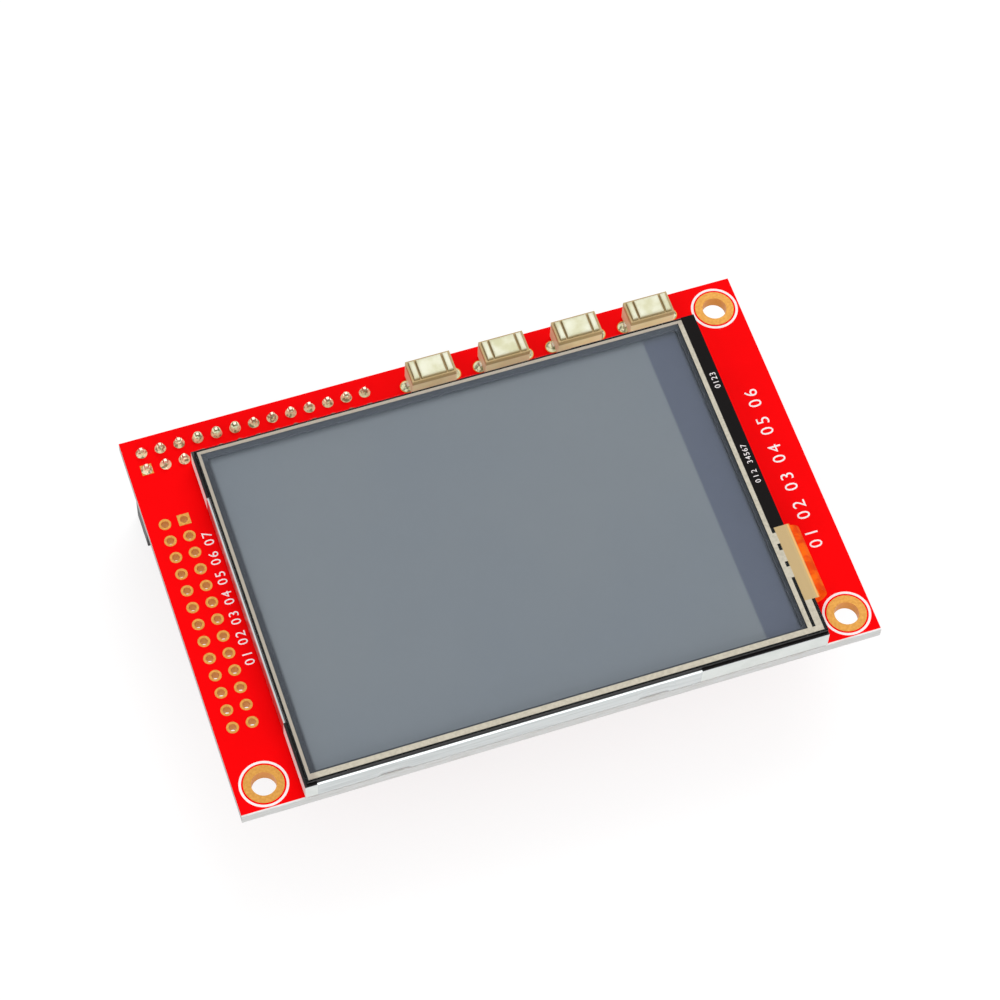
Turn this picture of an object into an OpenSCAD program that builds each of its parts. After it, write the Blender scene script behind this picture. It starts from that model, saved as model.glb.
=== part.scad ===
// Touch display board: a printed circuit board with a resistive touch display, four push
// buttons, an empty plated hole grid and a tall header socket on its underside.
// Every piece is drawn with the board's front left corner at x = 0, y = 0 and the board's
// upper face at z = 0, then placed so that the origin lies midway between the two front
// mounting holes, on the board's underside.

/* [Board] */
// Width of the strip of board left of the display
left_strip = 8.25; // [8:0.05:8.5]
// Width of the strip of board right of the display
right_strip = 7.45; // [6.9:0.05:9]
// Thickness of the circuit board
board_t = 1.6; // [1.2:0.1:2]
// Drilled diameter of every lead hole, before plating
lead_drill = 1.1; // [1.06:0.01:1.2]
// Thickness of the copper pads and of the plating in the holes
plating_t = 0.05; // [0.03:0.01:0.06]

/* [Mounting holes] */
// Finished bore of the mounting holes
mount_bore = 3.2; // [2.6:0.1:3.4]
// Diameter of the plated pad round a mounting hole
mount_pad_d = 5.2; // [4.6:0.1:5.6]
// Distance from the left edge to the front left hole
mount_left = 3.9; // [3.2:0.1:4.4]
// Distance from the right edge to the two right holes
mount_right = 3.4; // [3:0.1:3.6]
// Distance from the front edge to the two front holes
mount_front = 3.5; // [3:0.1:4.4]
// Distance from the rear edge to the rear right hole
mount_rear = 4; // [3:0.1:4.6]

/* [Hole grid and header] */
// Number of holes along a row, where the switches leave room for them
row_count = 13; // [10:1:13]
// Distance between neighbouring holes and pins
pitch = 2.54; // [2.5:0.02:2.54]
// Distance from the left edge to the first header pin
header_left = 2.45; // [2.2:0.05:2.8]
// Distance from the rear edge to the header's outer row
header_rear = 2.3; // [1.8:0.1:2.3]
// Distance from the left edge to the empty grid's left column
grid_left = 2.43; // [1.6:0.05:3.2]
// Distance from the front edge to the empty grid's front row
grid_front = 12.1; // [8:0.1:15]
// Diameter of the empty grid's pads
grid_pad_d = 1.6; // [1.4:0.05:1.9]
// Diameter of the header's pads
header_pad_d = 1.5; // [1.4:0.05:1.6]
// Width of a square header pin
pin_w = 0.64; // [0.5:0.02:0.66]
// Height of the header pins above the board
pin_rise = 1.2; // [1.1:0.1:1.9]
// Height of the header socket under the board
socket_h = 16.1; // [11:0.1:17]
// Depth of the socket across its two rows
socket_d = 5; // [4.8:0.1:5.1]
// Depth of the sprung chambers, up from the socket's mouth
chamber_h = 7.6; // [6:0.1:9]

/* [Push switches] */
// Distance between neighbouring push switches
switch_pitch = 10.16; // [9.5:0.02:10.6]
// Distance from the right edge to the last switch's centre
switch_right = 12.7; // [12.4:0.1:13.4]
// Distance from the rear edge to the switches' centre line
switch_rear = 3.1; // [2.4:0.05:3.1]
// Length of a switch shell
shell_w = 6.1; // [5.9:0.05:6.2]
// Depth of a switch shell
shell_d = 3.3; // [3.1:0.05:3.5]
// Height of a switch shell above the board
shell_h = 3.45; // [3.3:0.05:4]
// Wall thickness of the shell's long sides and bars
shell_wall = 0.2; // [0.15:0.01:0.25]
// Width of a plunger's face
plunger_w = 3.4; // [3:0.05:3.6]
// Height of the plungers' faces above the shell
plunger_rise = 0.5; // [0.4:0.05:0.8]
// Travel of a plunger
plunger_travel = 0.25; // [0.2:0.01:0.3]
// Distance between a switch's two leads
lead_span = 6.5; // [6.5:0.05:6.8]
// Diameter of the switch pads
switch_pad_d = 1.9; // [1.7:0.05:2]

/* [Display] */
// Outline width of the display; the board grows with it
lcd_w = 69.3; // [64:0.1:76]
// Outline depth of the display; the board grows with it
lcd_d = 50.2; // [46:0.1:56]
// Clear strip of board between the display and the header's pads
display_gap = 0.21; // [0.15:0.01:2]
// Thickness of the tape that holds the display on the board
tape_t = 0.2; // [0.16:0.02:0.4]
// Thickness of the steel bezel
bezel_t = 0.2; // [0.15:0.01:0.25]
// Width of the bezel at the left, front and rear edges
bezel_lip = 1.8; // [1.6:0.1:2.2]
// Width of the bezel at the right edge, over the driver chip
bezel_lip_right = 3; // [3:0.05:3.8]
// Thickness of the light guide
guide_t = 0.85; // [0.7:0.05:1.2]
// Thickness of each backlight film
film_t = 0.1; // [0.06:0.01:0.15]
// Thickness of each of the two glass sheets
cell_glass_t = 0.5; // [0.3:0.05:0.7]
// Thickness of a polarizer
polarizer_t = 0.15; // [0.1:0.01:0.2]

/* [Touch panel] */
// Thickness of the black tape under the touch glass
touch_tape_t = 0.2; // [0.1:0.05:0.5]
// Thickness of the touch glass
touch_glass_t = 0.7; // [0.5:0.05:1.1]
// Thickness of the pale border gasket and of the tail
gasket_t = 0.1; // [0.06:0.01:0.14]
// Thickness of the touch film
touch_film_t = 0.15; // [0.1:0.01:0.2]
// Width of the pale border along the front edge
border_front = 0.75; // [0.6:0.05:1.1]
// Width of the pale border along the left edge
border_left = 0.4; // [0.3:0.05:0.6]
// Width of the pale border along the right edge
border_right = 0.6; // [0.4:0.05:0.8]
// Width of the flex tail
tail_w = 11.1; // [9:0.1:12]
// Distance from the display's front edge to the tail
tail_front = 5; // [4.5:0.1:6]

/* [Hidden] */
$fn = 40;

lead_tip_r = 0.42;       // radius of a solder joint where it ends on its lead
hollow_power = 1.5;      // curve of a hollow solder fillet
round_power = 0.45;      // curve of a joint filled to a dome
cut = 0.5;               // how far a cutter runs past the face it cuts
join = 0.01;             // how far the parts of one moulding run into each other
slide_gap = 0.05;        // play of a sliding or dropped-in piece, each side
solder_tail = 1.2;       // how far the switch leads stand out under the board

// The board is drawn round the display, with the header's two rows behind it
board_w = left_strip + lcd_w + right_strip;
board_d = lcd_d + display_gap + header_pad_d / 2 + pitch + header_rear;

// Mounting holes: front left, front right, rear right
mount_points = [
    [mount_left, mount_front],
    [board_w - mount_right, mount_front],
    [board_w - mount_right, board_d - mount_rear]
];
origin_x = (mount_left + board_w - mount_right) / 2;
origin_y = mount_front;

header_y = board_d - header_rear - pitch;     // the header's inner row
switch_count = 4;
first_switch_x = board_w - switch_right - (switch_count - 1) * switch_pitch;
header_reach = first_switch_x - 3 * pitch - header_left;
header_count = min(row_count, 1 + floor(header_reach / pitch));
lead_bore = lead_drill - 2 * plating_t;
socket_end = pitch / 2;                       // body beyond the outermost pins
chamber_w = 1.5;
chamber_d = 1.9;
mouth_t = 0.8;                                // wall at the socket's mouth
mouth_w = 0.9;
funnel_w = 1.7;                               // lead-in at the mouth
funnel_h = 0.35;
foot_h = 0.3;                                 // end feet that stand on the board
foot_w = 1;
pin_play = 0.02;                              // room round a contact's tail, each side
contact_t = 0.2;
contact_w = 0.8;
shoulder_t = 0.6;
leaf_gap = 0.22;                              // half the gap between two closed leaves
plain_joint_count = 3;                        // outer joints left of the round ones
round_joint_count = 3;                        // outer joints filled to a full round dome
round_h = 1.05;
cone_h = [0.65, 0.75, 0.85];                  // the other joints differ a little in height

// Switch parts, measured from the switch's centre on the board
switch_y = board_d - switch_rear;
shell_end = 0.3;
shell_top_t = 0.35;
inner_w = shell_w - 2 * shell_end;
inner_d = shell_d - 2 * shell_wall;
face_d = inner_d - 2 * slide_gap;
floor_h = 0.8;
window_w = plunger_w + 2 * slide_gap;
post_in = window_w / 2 + shell_wall;          // inner side of an end post
post_w = inner_w / 2 - slide_gap - post_in;
face_z = shell_h + plunger_rise;
shoulder_z = shell_h - shell_top_t - slide_gap;
shoulder_h = 0.8;
dome_r = min(1.2, face_d / 2 - 0.1);
dome_h = 0.4;
dome_t = 0.06;
nub_z = floor_h + dome_h + plunger_travel + slide_gap;
nub_d = 1;
crown_r = 0.25;                               // rounding of an end post's top, to the sides
face_edge_r = 0.45;                           // rounding of faces and posts, front and rear
face_side_r = 0.3;                            // rounding of a plunger's face to the sides
lead_w = 0.7;
lead_t = 0.25;
lead_z = 0.35;
lead_bend = 0.3;
centre_stud_d = 0.8;
rim_stud_d = 0.4;
rim_stud_x = dome_r - dome_t;
switch_cone_h = 0.8;
switch_fillet_h = lead_z - plating_t;

// Display layers, from the board's face upwards
reflector_z = tape_t;
guide_z = reflector_z + film_t;
diffuser_z = guide_z + guide_t;
lower_prism_z = diffuser_z + film_t;
upper_prism_z = lower_prism_z + film_t;
rim_z = upper_prism_z + film_t;
rim_t = 0.05;
rear_polarizer_z = rim_z + rim_t;
tft_z = rear_polarizer_z + polarizer_t;
filter_z = tft_z + cell_glass_t;
front_polarizer_z = filter_z + cell_glass_t;
bezel_under = front_polarizer_z + polarizer_t + slide_gap;
bezel_z = bezel_under + bezel_t;
bend_r = 0.45;                                // outer bend radius of the bezel

// Display outlines, as [left, front, right, rear] distances from the display's outline
window_in = [bezel_lip, bezel_lip, bezel_lip_right, bezel_lip - 0.2];
lap = 0.35;                                   // glass and polarizer beyond the window
filter_in = [bezel_lip - lap, bezel_lip - lap, bezel_lip_right - lap, bezel_lip - 0.2 - lap];
tft_in = [filter_in[0], filter_in[1], 0.8, filter_in[3]];
pocket_in = [for (side = tft_in) side - 2 * slide_gap];
polarizer_in = [for (side = filter_in) side + 0.1];
guide_in = [for (i = [0:3]) filter_in[i] + (i == 2 ? 0.9 : 0.7)];
well_in = [for (i = [0:3]) guide_in[i] - (i == 2 ? 1.2 : 2 * slide_gap)];
rim_tape_in = [for (i = [0:3]) guide_in[i] + 0.4];
led_count = 6;
led_size = [0.7, 3, 0.6];
led_margin = 2.5;
led_strip_w = 0.9;
driver_size = [0.8, 18, 0.4];
flex_t = 0.1;
flex_bend = 0.3;
flex_bond = 0.75;                             // width bonded to the glass
flex_under = 12;                              // length folded back under the display
display_tape_in = [3, 1.5, flex_under + 3, 1.5];
flex_notch = [18, lcd_d - 8];                 // stretch of the right wall left open
skirt_z = gasket_t + slide_gap;               // lower edge of the skirts, over the tail
skirt_off = [1.6, 9.3, 17.15, 7.2];           // skirts' ends from the left, front, right, rear
skirt_front = [skirt_off[0], lcd_w - skirt_off[2]];
skirt_side = [skirt_off[1], lcd_d - skirt_off[3]];
dimple_off = [10, 6.3];                       // dimples from the ends of the front skirt
dimple_at = [skirt_front[0] + dimple_off[0], skirt_front[1] - dimple_off[1]];
dimple_w = 3.4;
dimple_in = 0.15;
dimple_ramp = 0.6;

// Touch panel layers and outlines
touch_tape_z = bezel_z;
touch_glass_z = touch_tape_z + touch_tape_t;
gasket_z = touch_glass_z + touch_glass_t;
touch_film_z = gasket_z + gasket_t;
touch_in = [0.3, 0.25, 0.15, 0.55];
border_step = [0.3, 0.23, 0.5, 0.3];         // border's distance from the glass edge
border_in = [for (i = [0:3]) touch_in[i] + border_step[i]];
border_rear = 0.4;
ledge_w = 1.85;                               // glass ledge along the right edge
tail_ledge = 1.4;                             // how far the tail runs onto the glass
ledge_x = lcd_w - touch_in[2] - ledge_w;
tail_x = lcd_w - touch_in[2] - tail_ledge;
tail_rear = tail_front + tail_w;
slot_front = 1.2;                             // from the display's edge to the first slot
bridge_w = [1.6, 1.7, 1.6];                   // bridges from the border to the tail
slot_w = [0.8, 1];                            // gaps between the bridges
last_gap = 0.75;                              // last gap, up to the tail's rear side
first_bridge = tail_rear - last_gap - bridge_w[0] - slot_w[0] - bridge_w[1] - slot_w[1] - bridge_w[2];
bridge_y = [
    first_bridge, first_bridge + bridge_w[0] + slot_w[0],
    first_bridge + bridge_w[0] + slot_w[0] + bridge_w[1] + slot_w[1]
];
border_slots = [                              // gaps between the border and the tail
    [slot_front, bridge_y[0]], [bridge_y[0] + bridge_w[0], bridge_y[1]],
    [bridge_y[1] + bridge_w[1], bridge_y[2]], [bridge_y[2] + bridge_w[2], tail_rear + cut]
];
tail_neck = 1;                                // how much narrower the tail's loop is
tail_proud = 0.6;                             // how far its full width stands out at the right
tail_reach = 2.05;                            // how far the loop stands out at the right
tail_under = 7;                               // length of the tail under the display

// Underside parts, as [x, y] from the board's front left corner
controller_at = [56, 30];
controller_size = [5, 4.4, 1];
controller_pin_count = 8;
controller_pin_pitch = 0.65;
small_chip_size = [2.9, 1.5, 1];
small_pin_pitch = 1.9;
chip_standoff = 0.1;
gull_w = 0.25;
gull_t = 0.15;
gull_x = [0.25, 0.4, 1];                      // bend, foot and tip of a lead, from the body
regulator_at = [44, 42];
transistor_at = [70, 36];
resistor_size = [1.6, 0.8, 0.45];
capacitor_size = [1.6, 0.8, 0.8];
cap_proud = 0.02;                             // how far metal end caps stand out
resistor_at = [[50, 36], [50, 33.5], [50, 31], [50, 28.5], [62, 22], [65, 22]];
capacitor_at = [[47.5, 38], [40.5, 38], [62, 36], [62, 33.5]];

// ---- placing ----

// Moves a piece from the board's corner to the part's origin.
module on_board() translate([-origin_x, -origin_y, board_t]) children();

module on_display() on_board() translate([left_strip, 0, 0]) children();

module at_switch(number)
    on_board()
        translate([first_switch_x + (number - 1) * switch_pitch, switch_y, 0]) children();

// Visits the pins of two rows: children get $pin, counted from the left, and $outer.
module each_header_pin()
    for (row = [0, 1], i = [0 : header_count - 1])
        translate([header_left + i * pitch, header_y + row * pitch, 0]) {
            $pin = i;
            $outer = row == 1;
            children();
        }

module each_grid_hole()
    for (column = [0, 1], i = [0 : row_count - 1])
        translate([grid_left + column * pitch, grid_front + i * pitch, 0]) {
            $square = column == 1 && i == row_count - 1;
            children();
        }

module each_switch_lead()
    for (number = [1 : switch_count], side = [-1, 1])
        at_switch(number)
            translate([side * lead_span / 2, 0, 0]) {
                $side = side;
                children();
            }

// ---- shared shapes ----

// A hole through the whole board.
module drill(d) translate([0, 0, -board_t - cut]) cylinder(h = board_t + 2 * cut, d = d);

// Pads on both faces joined by a plated barrel.
module plated_hole(drill_d, pad_d, square_pad = false)
    difference() {
        union() {
            translate([0, 0, -board_t]) cylinder(h = board_t, d = drill_d);
            for (z = [0, -board_t - plating_t])
                translate([0, 0, z])
                    if (square_pad)
                        translate([-pad_d / 2, -pad_d / 2, 0]) cube([pad_d, pad_d, plating_t]);
                    else
                        cylinder(h = plating_t, d = pad_d);
        }
        drill(drill_d - 2 * plating_t);
    }

// A box inside the display's outline, given its distances from the four sides.
module layer(inset, z, h)
    translate([inset[0], inset[1], z])
        cube([lcd_w - inset[0] - inset[2], lcd_d - inset[1] - inset[3], h]);

module ring(outer, inner, z, h)
    difference() {
        layer(outer, z, h);
        layer(inner, z - cut, h + 2 * cut);
    }

// Extrudes a profile drawn in x and z along y, from front to rear.
module along_y(front, rear)
    translate([0, rear, 0]) rotate([90, 0, 0]) linear_extrude(rear - front) children();

// A square pin with a bevelled end, from z = low to z = high.
module square_pin(w, low, high, bevel = 0.15) {
    profile = [
        [-w / 2, low], [w / 2, low], [w / 2, high - 2 * bevel],
        [w / 2 - bevel, high], [bevel - w / 2, high], [-w / 2, high - 2 * bevel]
    ];
    intersection() {
        along_y(-w / 2, w / 2) polygon(profile);
        rotate([0, 0, 90]) along_y(-w / 2, w / 2) polygon(profile);
    }
}

// Half outline of a solder joint; power above 1 hollows it, below 1 rounds it.
function solder_outline(base_r, tip_r, h, power, steps = 6) = concat(
    [[0, 0]],
    [for (i = [0 : steps]) [tip_r + (base_r - tip_r) * pow(1 - i / steps, power), h * i / steps]],
    [[0, h]]
);

module solder_joint(base_r, tip_r, h, power)
    rotate_extrude() polygon(solder_outline(base_r, tip_r, h, power));

// ---- board ----

module circuit_board()
    color("red")
        difference() {
            on_board() translate([0, 0, -board_t]) cube([board_w, board_d, board_t]);
            on_board() {
                for (p = mount_points) translate([p[0], p[1], 0]) drill(mount_bore + 2 * plating_t);
                each_header_pin() drill(lead_drill);
                each_grid_hole() drill(lead_drill);
            }
            each_switch_lead() drill(lead_drill);
        }

module mounting_pads()
    color("goldenrod")
        on_board()
            for (p = mount_points)
                translate([p[0], p[1], 0]) plated_hole(mount_bore + 2 * plating_t, mount_pad_d);

module grid_pads()
    color("goldenrod") on_board() each_grid_hole() plated_hole(lead_drill, grid_pad_d, $square);

module header_pads()
    color("goldenrod")
        on_board()
            each_header_pin() plated_hole(lead_drill, header_pad_d, $pin == 0 && !$outer);

module switch_pads()
    color("goldenrod") each_switch_lead() plated_hole(lead_drill, switch_pad_d);

// ---- header ----

// Moulded body, open at its lower mouth, with a narrow way up for each contact.
module header_socket() {
    body_w = (header_count - 1) * pitch + 2 * socket_end;
    top_z = -board_t - plating_t;
    low_z = top_z - socket_h;
    mid_y = header_y + pitch / 2;
    tail_way = pin_w + 2 * pin_play;
    color("#161616")
        on_board()
            difference() {
                translate([header_left - socket_end, mid_y - socket_d / 2, low_z])
                    cube([body_w, socket_d, socket_h]);
                // relief between the feet, so that flux and its fumes can leave
                translate([header_left - socket_end + foot_w, mid_y - socket_d / 2 - cut, top_z - foot_h])
                    cube([body_w - 2 * foot_w, socket_d + 2 * cut, foot_h + cut]);
                each_header_pin() {
                    translate([-tail_way / 2, -tail_way / 2, low_z + chamber_h - cut])
                        cube([tail_way, tail_way, socket_h]);
                    translate([-chamber_w / 2, -chamber_d / 2, low_z + mouth_t])
                        cube([chamber_w, chamber_d, chamber_h - mouth_t]);
                    translate([-mouth_w / 2, -mouth_w / 2, low_z - cut])
                        cube([mouth_w, mouth_w, mouth_t + 2 * cut]);
                    translate([0, 0, low_z - join])
                        cylinder(h = funnel_h, d1 = funnel_w, d2 = mouth_w + 4 * join);
                }
            }
}

// One contact: a tail through the board, a shoulder under the chamber's roof and two leaves
// that close on each other near their ends.
module socket_contact() {
    roof_z = -board_t - plating_t - socket_h + chamber_h;
    shoulder_w = contact_w + contact_t;
    shoulder_d = chamber_d - contact_t;
    root_z = roof_z - shoulder_t + contact_t / 2;
    end_z = roof_z - chamber_h + mouth_t + contact_w;
    nip_z = end_z + (roof_z - end_z) / 4;
    square_pin(pin_w, roof_z - shoulder_t, pin_rise);
    translate([-shoulder_w / 2, -shoulder_d / 2, roof_z - shoulder_t])
        cube([shoulder_w, shoulder_d, shoulder_t]);
    for (side = [-1, 1])
        rotate([90, 0, side * 90])
            translate([0, 0, -contact_w / 2])
                linear_extrude(contact_w)
                    polygon([
                        [shoulder_d / 2 - contact_t, root_z], [shoulder_d / 2, root_z],
                        [leaf_gap + contact_t, nip_z], [leaf_gap + 2 * contact_t, end_z],
                        [leaf_gap + contact_t, end_z], [leaf_gap, nip_z]
                    ]);
}

module socket_contacts() color("silver") on_board() each_header_pin() socket_contact();

module header_solder()
    color("gainsboro")
        on_board()
            each_header_pin() {
                nth = $pin - plain_joint_count;
                full = $outer && nth >= 0 && nth < round_joint_count;
                difference() {
                    translate([0, 0, plating_t])
                        solder_joint(
                            header_pad_d / 2, full ? pin_w / 2 : lead_tip_r,
                            full ? round_h : cone_h[$pin % len(cone_h)], full ? round_power : hollow_power
                        );
                    translate([-pin_w / 2, -pin_w / 2, -cut]) cube([pin_w, pin_w, 2 * pin_rise]);
                }
            }

// ---- push switches ----

// Bent strip from inside the base, out at the end and down through the board.
module switch_lead_profile(inner_x) {
    outer_x = lead_span / 2 + lead_t / 2;
    top_z = lead_z + lead_t;
    low_z = -board_t - solder_tail;
    difference() {
        union() {
            translate([inner_x, lead_z]) square([outer_x - lead_bend - inner_x, lead_t]);
            translate([outer_x - lead_t, low_z]) square([lead_t, top_z - lead_bend - low_z]);
            translate([outer_x - lead_bend, top_z - lead_bend]) circle(r = lead_bend);
        }
        translate([inner_x, low_z])
            square([outer_x - lead_t - inner_x, lead_z - low_z]);
    }
}

// A lead with the stud that meets the dome, on the right of the switch.
module switch_lead(inner_x, stud_x, stud_d) {
    along_y(-lead_w / 2, lead_w / 2) switch_lead_profile(inner_x);
    translate([stud_x, 0, lead_z + lead_t - join])
        cylinder(h = floor_h - lead_z - lead_t + join, d = stud_d);
}

module switch_leads(number)
    color("silver")
        at_switch(number) {
            switch_lead(rim_stud_x - rim_stud_d, rim_stud_x, rim_stud_d);
            mirror([1, 0, 0]) switch_lead(-centre_stud_d / 2, 0, centre_stud_d);
        }

// Space that the two leads and their studs take in the base and the shell.
module lead_slots() {
    for (side = [0, 1])
        mirror([side, 0, 0])
            translate([
                side == 0 ? rim_stud_x - rim_stud_d : -centre_stud_d / 2, -lead_w / 2, lead_z
            ])
                cube([shell_w, lead_w, lead_t]);
    translate([rim_stud_x, 0, lead_z]) cylinder(h = floor_h, d = rim_stud_d);
    translate([0, 0, lead_z]) cylinder(h = floor_h, d = centre_stud_d);
}

// Moulded floor with two end posts that show beside the plunger.
module switch_base(number)
    color("ivory")
        at_switch(number)
            difference() {
                union() {
                    translate([slide_gap - inner_w / 2, slide_gap - inner_d / 2, plating_t])
                        cube([
                            inner_w - 2 * slide_gap, inner_d - 2 * slide_gap, floor_h - plating_t
                        ]);
                    for (side = [0, 1])
                        mirror([side, 0, 0])
                            translate([post_in, -face_d / 2, floor_h - join])
                                cushion(post_w, face_z - floor_h, crown_r);
                }
                lead_slots();
            }

// A rectangle on its lower side with its two upper corners rounded.
module crowned(w, h, r) {
    square([w, h - r]);
    for (x = [r, w - r]) translate([x, h - r]) circle(r = r);
    translate([r, h - 2 * r]) square([w - 2 * r, 2 * r]);
}

// A block on x, y and z = 0 whose top is rounded on all four sides.
module cushion(w, h, side_r)
    intersection() {
        along_y(0, face_d) crowned(w, h, side_r);
        rotate([90, 0, 90]) linear_extrude(w) crowned(face_d, h, face_edge_r);
    }

module switch_shell(number)
    color("tan")
        at_switch(number)
            difference() {
                translate([-shell_w / 2, -shell_d / 2, plating_t])
                    cube([shell_w, shell_d, shell_h - plating_t]);
                translate([-inner_w / 2, -inner_d / 2, -cut])
                    cube([inner_w, inner_d, shell_h - shell_top_t + cut]);
                translate([-window_w / 2, -inner_d / 2, 0])
                    cube([window_w, inner_d, shell_h + cut]);
                for (side = [0, 1])
                    mirror([side, 0, 0])
                        translate([post_in, -inner_d / 2, 0])
                            cube([inner_w / 2 - post_in, inner_d, shell_h + cut]);
                lead_slots();
            }

// Face rounded on all sides, a shoulder under the shell's bars and a nub
// that stands over the dome.
module switch_plunger(number) {
    shoulder_w = 2 * (post_in - slide_gap);
    color("ivory")
        at_switch(number) {
            translate([-plunger_w / 2, -face_d / 2, shoulder_z - shoulder_h])
                cushion(plunger_w, face_z - shoulder_z + shoulder_h, face_side_r);
            translate([-shoulder_w / 2, -face_d / 2, shoulder_z - shoulder_h])
                cube([shoulder_w, face_d, shoulder_h]);
            translate([0, 0, nub_z]) cylinder(h = shoulder_z - nub_z, d = nub_d);
        }
}

module snap_dome(number) {
    sphere_r = (dome_r * dome_r + dome_h * dome_h) / (2 * dome_h);
    color("silver")
        at_switch(number)
            translate([0, 0, floor_h])
                intersection() {
                    cylinder(h = dome_h + cut, r = dome_r);
                    translate([0, 0, dome_h - sphere_r])
                        difference() {
                            sphere(r = sphere_r);
                            sphere(r = sphere_r - dome_t);
                        }
                }
}

// Solder that fills each hole, with a cone below and a low fillet beside the shell.
module switch_solder() {
    pocket = (lead_span - shell_w) / 2;
    color("gainsboro")
        each_switch_lead()
            difference() {
                union() {
                    translate([0, 0, -board_t - plating_t]) {
                        mirror([0, 0, 1])
                            solder_joint(switch_pad_d / 2, lead_tip_r, switch_cone_h, hollow_power);
                        cylinder(h = board_t + 2 * plating_t, d = lead_bore);
                    }
                    translate([0, 0, plating_t])
                        solder_joint(
                            switch_pad_d / 2 - 2 * plating_t, lead_tip_r, switch_fillet_h, hollow_power
                        );
                }
                translate([-lead_t / 2, -lead_w / 2, -2 * board_t])
                    cube([lead_t, lead_w, 3 * board_t]);
                rotate([0, 0, $side > 0 ? 180 : 0])
                    translate([pocket, -switch_pad_d, plating_t])
                        cube([switch_pad_d, 2 * switch_pad_d, shell_h]);
            }
}

// ---- display ----

module display_tape() color("white") on_display() layer(display_tape_in, 0, tape_t);

// White moulded tray: an outer wall, a ledge for the glass and a well for the light guide.
// Where the bezel's skirts lie, the wall stands back by the sheet's thickness.
module backlight_frame() {
    wall_h = bezel_under - tape_t;
    notch_x = lcd_w - tft_in[2] - slide_gap;
    color("whitesmoke")
        on_display()
            difference() {
                layer([0, 0, 0, 0], tape_t, wall_h);
                layer(well_in, tape_t - cut, wall_h + 2 * cut);
                layer(pocket_in, rim_z, wall_h);
                skirt_room();
                translate([notch_x, flex_notch[0] - slide_gap, tape_t - cut])
                    cube([
                        lcd_w - notch_x + cut, flex_notch[1] - flex_notch[0] + 2 * slide_gap,
                        wall_h + 2 * cut
                    ]);
            }
}

// Room for the skirts, their bends and their dimples in the tray's outer wall.
module skirt_room() {
    h = bezel_z - tape_t + 2 * cut;
    for (depth_z = [[bezel_t, tape_t - cut], [bend_r, bezel_z - bend_r]])
        translate([0, 0, depth_z[1]]) {
            for (y = [-cut, lcd_d - depth_z[0]])
                translate([skirt_front[0], y, 0])
                    cube([skirt_front[1] - skirt_front[0], depth_z[0] + cut, h]);
            for (x = [-cut, lcd_w - depth_z[0]])
                translate([x, skirt_side[0], 0])
                    cube([depth_z[0] + cut, skirt_side[1] - skirt_side[0], h]);
        }
    for (x = dimple_at, y = [0, lcd_d])
        translate([x - dimple_w / 2 - dimple_in, y - bezel_t - dimple_in, tape_t - cut])
            cube([dimple_w + 2 * dimple_in, 2 * (bezel_t + dimple_in), h]);
}

module reflector_film()
    color("silver")
        on_display() layer([for (side = well_in) side + slide_gap], reflector_z, film_t);

module light_guide() color("azure") on_display() layer(guide_in, guide_z, guide_t);

module diffuser_film() color("white") on_display() layer(guide_in, diffuser_z, film_t);

module lower_prism_film() color("snow") on_display() layer(guide_in, lower_prism_z, film_t);

module upper_prism_film() color("snow") on_display() layer(guide_in, upper_prism_z, film_t);

// A row of LEDs that shine into the light guide's right edge.
module backlight_leds() {
    row_d = lcd_d - guide_in[1] - guide_in[3] - 2 * led_margin;
    color("lightyellow")
        on_display()
            for (i = [0 : led_count - 1])
                translate([
                    lcd_w - guide_in[2] + slide_gap,
                    guide_in[1] + led_margin + i * (row_d - led_size[1]) / (led_count - 1),
                    guide_z
                ])
                    cube(led_size);
}

module led_strip()
    color("orange")
        on_display()
            translate([
                lcd_w - guide_in[2] + slide_gap, guide_in[1] + led_margin / 2, guide_z + led_size[2]
            ])
                cube([led_strip_w, lcd_d - guide_in[1] - guide_in[3] - led_margin, film_t]);

module rim_tape() color("#202020") on_display() ring(tft_in, rim_tape_in, rim_z, rim_t);

module rear_polarizer()
    color("dimgray") on_display() layer(polarizer_in, rear_polarizer_z, polarizer_t);

module tft_glass() color("lightcyan") on_display() layer(tft_in, tft_z, cell_glass_t);

module filter_glass() color("lightcyan") on_display() layer(filter_in, filter_z, cell_glass_t);

module front_polarizer()
    color("#6d7479") on_display() layer(polarizer_in, front_polarizer_z, polarizer_t);

module driver_chip()
    color("#303030")
        on_display()
            translate([lcd_w - filter_in[2] + 2 * film_t, (lcd_d - driver_size[1]) / 2, filter_z])
                cube(driver_size);

// Rectangle from x0, z0 to x1, z1 with its two right-hand corners rounded.
module rounded_right(x0, x1, z0, z1, r) {
    translate([x0, z0]) square([x1 - r - x0, z1 - z0]);
    translate([x0, z0 + r]) square([x1 - x0, z1 - z0 - 2 * r]);
    for (z = [z0 + r, z1 - r]) translate([x1 - r, z]) circle(r = r);
}

// Display flex: bonded on the glass ledge, down inside the right wall and back under.
module display_flex() {
    bond_x = lcd_w - tft_in[2] - flex_bond;
    drop_x = lcd_w - bend_r - 2 * slide_gap;
    under_x = lcd_w - flex_under;
    top_z = filter_z + flex_t;
    color("orange")
        on_display()
            along_y(flex_notch[0], flex_notch[1])
                difference() {
                    rounded_right(under_x, drop_x, 0, top_z, flex_bend);
                    rounded_right(
                        under_x - cut, drop_x - flex_t, flex_t, top_z - flex_t, flex_bend - flex_t
                    );
                    translate([under_x - cut, flex_t]) square([bond_x - under_x + cut, top_z]);
                }
}

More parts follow.
